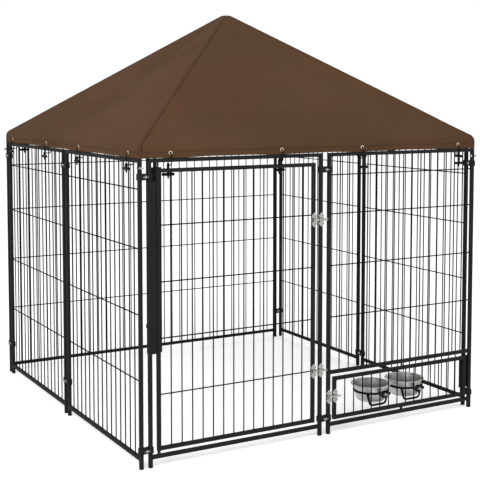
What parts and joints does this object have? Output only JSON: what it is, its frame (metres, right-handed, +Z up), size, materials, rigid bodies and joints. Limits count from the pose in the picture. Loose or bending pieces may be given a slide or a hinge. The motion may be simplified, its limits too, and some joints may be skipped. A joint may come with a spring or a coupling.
{
  "type": "outdoor dog kennel run",
  "caption": "Square outdoor dog kennel run of black tube and wire panels, with a latched swinging door, a turning feeder leaf with steel bowls, and a brown pyramid canopy.",
  "frame": {"origin": "on the ground, under the apex of the canopy, at the middle of the square run", "axes": "X along the front to the right, +Y to the back, +Z up"},
  "size_m": [1.4322, 1.4322, 1.541],
  "materials": {
    "black_coat": "satin powder coat",
    "black_wire": "satin powder coat",
    "black_plastic": "matte",
    "zinc_plate": "zinc plated",
    "bowl_steel": "polished stainless steel",
    "brown_cloth": "woven polyester",
    "pale_brass": "plated",
    "elastic_cord": "braided cover"
  },
  "bodies": {
    "run": {"door_panel_frame": "black_coat", "feeder_panel_frame": "black_coat", "right_front_frame": "black_coat", "right_rear_frame": "black_coat", "back_right_frame": "black_coat", "back_left_frame": "black_coat", "left_rear_frame": "black_coat", "left_front_frame": "black_coat", "feeder_panel_mesh": "black_wire", "right_front_mesh": "black_wire", "right_rear_mesh": "black_wire", "back_right_mesh": "black_wire", "back_left_mesh": "black_wire", "left_rear_mesh": "black_wire", "left_front_mesh": "black_wire", "foot_caps": "black_plastic", "post_caps": "black_plastic", "clamp_outer_plates": "black_coat", "clamp_inner_plates": "black_coat", "clamp_bolts": "zinc_plate", "wing_nuts": "zinc_plate", "door_stop_plate": "black_coat", "feeder_stop_plate": "black_coat", "door_latch_housings": "zinc_plate", "feeder_latch_keeper": "zinc_plate", "roof_pole_front_left": "black_coat", "roof_pole_front_right": "black_coat", "roof_pole_back_right": "black_coat", "roof_pole_back_left": "black_coat", "roof_hub": "black_plastic", "pole_bolts": "zinc_plate", "canopy": "brown_cloth", "grommets": "pale_brass", "bungee_loops": "elastic_cord", "toggles": "black_plastic"},
    "door": {"door_frame": "black_coat", "door_mesh": "black_wire", "door_pivot_pins": "zinc_plate", "door_caps": "black_plastic", "door_latch_keepers": "zinc_plate"},
    "feeder": {"feeder_frame": "black_coat", "feeder_mesh": "black_wire", "feeder_pivot_pins": "zinc_plate", "feeder_caps": "black_plastic", "feeder_latch_housing": "zinc_plate", "bowl_holder_left": "black_coat", "bowl_holder_right": "black_coat", "holder_clips": "black_coat", "holder_bolts": "zinc_plate", "holder_nuts": "zinc_plate"},
    "door_bolt_upper": {"door_bolt_upper": "zinc_plate"},
    "door_bolt_lower": {"door_bolt_lower": "zinc_plate"},
    "feeder_bolt": {"feeder_bolt": "zinc_plate"},
    "bowl_left": {"bowl_left": "bowl_steel"},
    "bowl_right": {"bowl_right": "bowl_steel"}
  },
  "joints": [
    {"name": "door_swing", "type": "hinge", "parent": "run", "child": "door", "pos_m": [-0.63525, -0.69865, 0.5], "axis": [0, 0, -1], "range_deg": [0, 120]},
    {"name": "feeder_turn", "type": "hinge", "parent": "run", "child": "feeder", "pos_m": [0.36667, -0.69865, 0.128], "axis": [0, 0, -1], "range_deg": [0, 165]},
    {"name": "door_bolt_upper_slide", "type": "slide", "parent": "run", "child": "door_bolt_upper", "axis": [-1, 0, 0], "range_m": [0, 0.009]},
    {"name": "door_bolt_lower_slide", "type": "slide", "parent": "run", "child": "door_bolt_lower", "axis": [-1, 0, 0], "range_m": [0, 0.009]},
    {"name": "feeder_bolt_slide", "type": "slide", "parent": "feeder", "child": "feeder_bolt", "axis": [-1, 0, 0], "range_m": [0, 0.009]},
    {"name": "bowl_left_lift", "type": "slide", "parent": "feeder", "child": "bowl_left", "axis": [0, 0, 1], "range_m": [0, 0.08]},
    {"name": "bowl_right_lift", "type": "slide", "parent": "feeder", "child": "bowl_right", "axis": [0, 0, 1], "range_m": [0, 0.08]}
  ]
}
